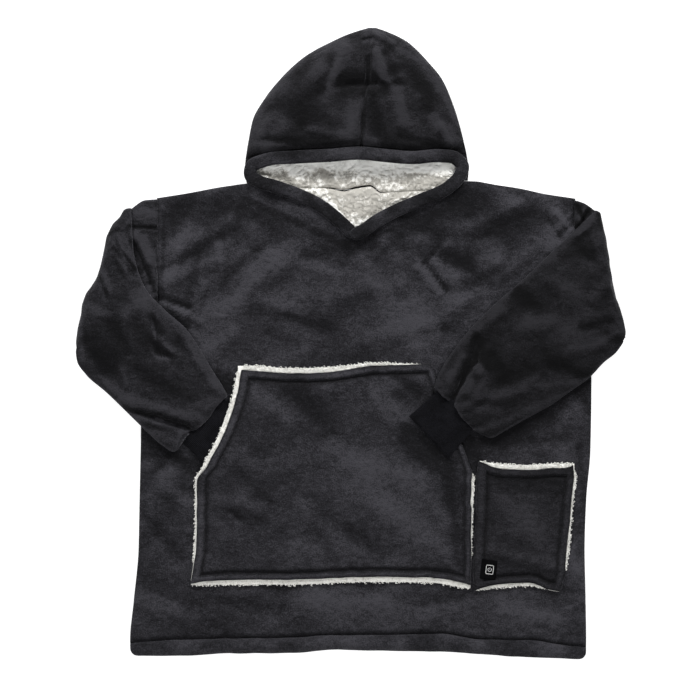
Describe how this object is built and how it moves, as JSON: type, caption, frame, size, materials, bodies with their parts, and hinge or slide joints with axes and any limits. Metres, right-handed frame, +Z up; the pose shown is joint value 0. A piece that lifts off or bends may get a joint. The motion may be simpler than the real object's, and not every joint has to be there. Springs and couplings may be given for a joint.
{
  "type": "wearable blanket hoodie",
  "caption": "Oversized hooded blanket garment laid flat, sherpa inside, sleeves folded over the front into rib cuffs, with a hand pouch and a side pocket with a switch patch.",
  "frame": {"origin": "on the surface it lies on, under the middle of the whole garment", "axes": "+Z up from the surface, +Y from the hem towards the hood's peak, +X towards the side with the small pocket"},
  "size_m": [1.0468, 1.198, 0.048],
  "materials": {
    "flannel": "brushed nap",
    "sherpa": "curly pile",
    "rib": "rib knit",
    "patch": "matte, with a white print"
  },
  "bodies": {
    "root": {"body_back": "flannel", "body_front": "flannel", "hem_band": "flannel", "sleeve_left": "flannel", "sleeve_right": "flannel", "cuff_left": "rib", "cuff_right": "rib", "pouch_pocket": "flannel", "pouch_pocket_pile": "sherpa", "side_pocket": "flannel", "side_pocket_pile": "sherpa", "switch_patch": "patch", "hood_back": "flannel", "hood_left": "flannel", "hood_right": "flannel", "hood_band": "flannel", "hood_lining": "sherpa", "back_lining": "sherpa"}
  },
  "joints": []
}
